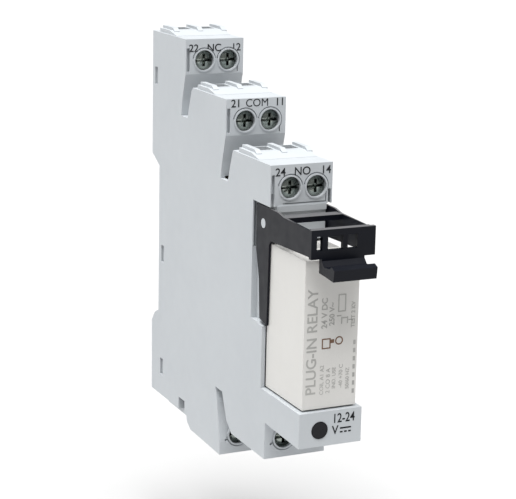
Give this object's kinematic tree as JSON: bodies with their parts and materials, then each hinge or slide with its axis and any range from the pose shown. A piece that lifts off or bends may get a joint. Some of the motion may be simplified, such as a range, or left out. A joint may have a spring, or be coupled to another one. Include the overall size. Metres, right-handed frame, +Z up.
{
  "type": "plug-in interface relay on DIN-rail socket",
  "caption": "Slim rail-mounted screw-terminal socket with a plug-in relay held and ejected by a pivoting black clip.",
  "frame": {"origin": "centre of the rail seat: on the seat plane, at the rail's centre line and half the socket's width", "axes": "+Z up along the socket's height, +Y back towards the rail, +X along the rail; the terminals and relay face -Y"},
  "size_m": [0.014, 0.0893, 0.0911],
  "materials": {
    "body_plastic": "fine matt texture",
    "lens_plastic": "smoked translucent",
    "board": "solder-masked board",
    "strip_brass": "stamped",
    "plated_steel": "zinc plated",
    "clip_plastic": "satin black",
    "relay_plastic": "fine matt",
    "base_plastic": "matt",
    "bobbin_plastic": "natural",
    "copper_wire": "enamelled copper",
    "soft_iron": "ground",
    "card_plastic": "moulded"
  },
  "bodies": {
    "socket": {"socket_housing": "body_plastic", "rear_cover": "body_plastic", "led_lens": "lens_plastic", "led_board": "board", "strip_12": "strip_brass", "strip_22": "strip_brass", "strip_11": "strip_brass", "strip_21": "strip_brass", "strip_14": "strip_brass", "strip_24": "strip_brass", "strip_a1": "strip_brass", "strip_a2": "strip_brass", "foot_spring": "plated_steel"},
    "screw_12": {"screw_12": "plated_steel"},
    "cage_12": {"cage_12": "plated_steel"},
    "screw_22": {"screw_22": "plated_steel"},
    "cage_22": {"cage_22": "plated_steel"},
    "screw_11": {"screw_11": "plated_steel"},
    "cage_11": {"cage_11": "plated_steel"},
    "screw_21": {"screw_21": "plated_steel"},
    "cage_21": {"cage_21": "plated_steel"},
    "screw_14": {"screw_14": "plated_steel"},
    "cage_14": {"cage_14": "plated_steel"},
    "screw_24": {"screw_24": "plated_steel"},
    "cage_24": {"cage_24": "plated_steel"},
    "screw_a2_right": {"screw_a2_right": "plated_steel"},
    "cage_a2_right": {"cage_a2_right": "plated_steel"},
    "screw_a2_left": {"screw_a2_left": "plated_steel"},
    "cage_a2_left": {"cage_a2_left": "plated_steel"},
    "screw_a1_right": {"screw_a1_right": "plated_steel"},
    "cage_a1_right": {"cage_a1_right": "plated_steel"},
    "screw_a1_left": {"screw_a1_left": "plated_steel"},
    "cage_a1_left": {"cage_a1_left": "plated_steel"},
    "rail_foot": {"din_foot": "body_plastic"},
    "clip": {"retaining_clip": "clip_plastic"},
    "relay": {"relay_cover": "relay_plastic", "relay_base": "base_plastic", "coil_bobbin": "bobbin_plastic", "coil_winding": "copper_wire", "iron_core": "soft_iron", "yoke": "soft_iron", "coil_pins": "plated_steel", "nc_contact_12": "strip_brass", "nc_contact_22": "strip_brass", "no_contact_14": "strip_brass", "no_contact_24": "strip_brass", "common_pin_11": "strip_brass", "common_pin_21": "strip_brass"},
    "armature": {"armature": "soft_iron"},
    "card": {"actuator_card": "card_plastic"},
    "blade_11": {"moving_blade_11": "copper_wire"},
    "blade_21": {"moving_blade_21": "copper_wire"}
  },
  "joints": [
    {"name": "screw_12_turn", "type": "hinge", "parent": "socket", "child": "screw_12", "pos_m": [0.0033, -0.0153, 0.04405], "axis": [0, 1, 0], "range_deg": [0, 1800]},
    {"name": "cage_12_rise", "type": "slide", "parent": "socket", "child": "cage_12", "axis": [0, -1, 0], "range_m": [0, 0.0025]},
    {"name": "screw_22_turn", "type": "hinge", "parent": "socket", "child": "screw_22", "pos_m": [-0.0025, -0.0153, 0.04405], "axis": [0, 1, 0], "range_deg": [0, 1800]},
    {"name": "cage_22_rise", "type": "slide", "parent": "socket", "child": "cage_22", "axis": [0, -1, 0], "range_m": [0, 0.0025]},
    {"name": "screw_11_turn", "type": "hinge", "parent": "socket", "child": "screw_11", "pos_m": [0.0033, -0.0379, 0.0339], "axis": [0, 1, 0], "range_deg": [0, 1800]},
    {"name": "cage_11_rise", "type": "slide", "parent": "socket", "child": "cage_11", "axis": [0, -1, 0], "range_m": [0, 0.0025]},
    {"name": "screw_21_turn", "type": "hinge", "parent": "socket", "child": "screw_21", "pos_m": [-0.0025, -0.0379, 0.0339], "axis": [0, 1, 0], "range_deg": [0, 1800]},
    {"name": "cage_21_rise", "type": "slide", "parent": "socket", "child": "cage_21", "axis": [0, -1, 0], "range_m": [0, 0.0025]},
    {"name": "screw_14_turn", "type": "hinge", "parent": "socket", "child": "screw_14", "pos_m": [0.0033, -0.0605, 0.02375], "axis": [0, 1, 0], "range_deg": [0, 1800]},
    {"name": "cage_14_rise", "type": "slide", "parent": "socket", "child": "cage_14", "axis": [0, -1, 0], "range_m": [0, 0.0025]},
    {"name": "screw_24_turn", "type": "hinge", "parent": "socket", "child": "screw_24", "pos_m": [-0.0025, -0.0605, 0.02375], "axis": [0, 1, 0], "range_deg": [0, 1800]},
    {"name": "cage_24_rise", "type": "slide", "parent": "socket", "child": "cage_24", "axis": [0, -1, 0], "range_m": [0, 0.0025]},
    {"name": "screw_a2_right_turn", "type": "hinge", "parent": "socket", "child": "screw_a2_right", "pos_m": [0.0033, -0.0604, -0.0295], "axis": [0, 1, 0], "range_deg": [0, 1800]},
    {"name": "cage_a2_right_rise", "type": "slide", "parent": "socket", "child": "cage_a2_right", "axis": [0, -1, 0], "range_m": [0, 0.0025]},
    {"name": "screw_a2_left_turn", "type": "hinge", "parent": "socket", "child": "screw_a2_left", "pos_m": [-0.0025, -0.0604, -0.0295], "axis": [0, 1, 0], "range_deg": [0, 1800]},
    {"name": "cage_a2_left_rise", "type": "slide", "parent": "socket", "child": "cage_a2_left", "axis": [0, -1, 0], "range_m": [0, 0.0025]},
    {"name": "screw_a1_right_turn", "type": "hinge", "parent": "socket", "child": "screw_a1_right", "pos_m": [0.0033, -0.0373, -0.0365], "axis": [0, 1, 0], "range_deg": [0, 1800]},
    {"name": "cage_a1_right_rise", "type": "slide", "parent": "socket", "child": "cage_a1_right", "axis": [0, -1, 0], "range_m": [0, 0.0025]},
    {"name": "screw_a1_left_turn", "type": "hinge", "parent": "socket", "child": "screw_a1_left", "pos_m": [-0.0025, -0.0373, -0.0365], "axis": [0, 1, 0], "range_deg": [0, 1800]},
    {"name": "cage_a1_left_rise", "type": "slide", "parent": "socket", "child": "cage_a1_left", "axis": [0, -1, 0], "range_m": [0, 0.0025]},
    {"name": "rail_foot_slide", "type": "slide", "parent": "socket", "child": "rail_foot", "axis": [0, 0, -1], "range_m": [0, 0.0035], "stiffness_N_per_m": 400, "springref_m": -0.002, "deforming": ["foot_spring"]},
    {"name": "clip_lift", "type": "hinge", "parent": "socket", "child": "clip", "pos_m": [0, -0.0567, 0.0159], "axis": [-1, 0, 0], "range_deg": [0, 35]},
    {"name": "relay_eject", "type": "slide", "parent": "socket", "child": "relay", "axis": [0, -1, 0], "range_m": [0, 0.0045]},
    {"name": "armature_pull", "type": "hinge", "parent": "relay", "child": "armature", "pos_m": [0, -0.0699, -0.0021], "axis": [-1, 0, 0], "range_deg": [0, 6], "stiffness_Nm_per_rad": 0.002, "springref_deg": -17.19},
    {"name": "card_push", "type": "slide", "parent": "relay", "child": "card", "axis": [0, 0, 1], "range_m": [0, 0.00043]},
    {"name": "blade_11_flex", "type": "hinge", "parent": "relay", "child": "blade_11", "pos_m": [0.0029, -0.061, 0.0037], "axis": [-1, 0, 0], "range_deg": [0, 2.2]},
    {"name": "blade_21_flex", "type": "hinge", "parent": "relay", "child": "blade_21", "pos_m": [-0.0029, -0.061, 0.0037], "axis": [-1, 0, 0], "range_deg": [0, 2.2]}
  ],
  "couplings": [
    {"joint": "screw_12_turn", "follows": "cage_12_rise", "rad_per_m": 12566},
    {"joint": "screw_22_turn", "follows": "cage_22_rise", "rad_per_m": 12566},
    {"joint": "screw_11_turn", "follows": "cage_11_rise", "rad_per_m": 12566},
    {"joint": "screw_21_turn", "follows": "cage_21_rise", "rad_per_m": 12566},
    {"joint": "screw_14_turn", "follows": "cage_14_rise", "rad_per_m": 12566},
    {"joint": "screw_24_turn", "follows": "cage_24_rise", "rad_per_m": 12566},
    {"joint": "screw_a2_right_turn", "follows": "cage_a2_right_rise", "rad_per_m": 12566},
    {"joint": "screw_a2_left_turn", "follows": "cage_a2_left_rise", "rad_per_m": 12566},
    {"joint": "screw_a1_right_turn", "follows": "cage_a1_right_rise", "rad_per_m": 12566},
    {"joint": "screw_a1_left_turn", "follows": "cage_a1_left_rise", "rad_per_m": 12566},
    {"joint": "relay_eject", "follows": "clip_lift", "m_per_rad": 0.0072},
    {"joint": "card_push", "follows": "armature_pull", "m_per_rad": 0.0041},
    {"joint": "blade_11_flex", "follows": "armature_pull", "ratio": 0.35},
    {"joint": "blade_21_flex", "follows": "armature_pull", "ratio": 0.35}
  ]
}
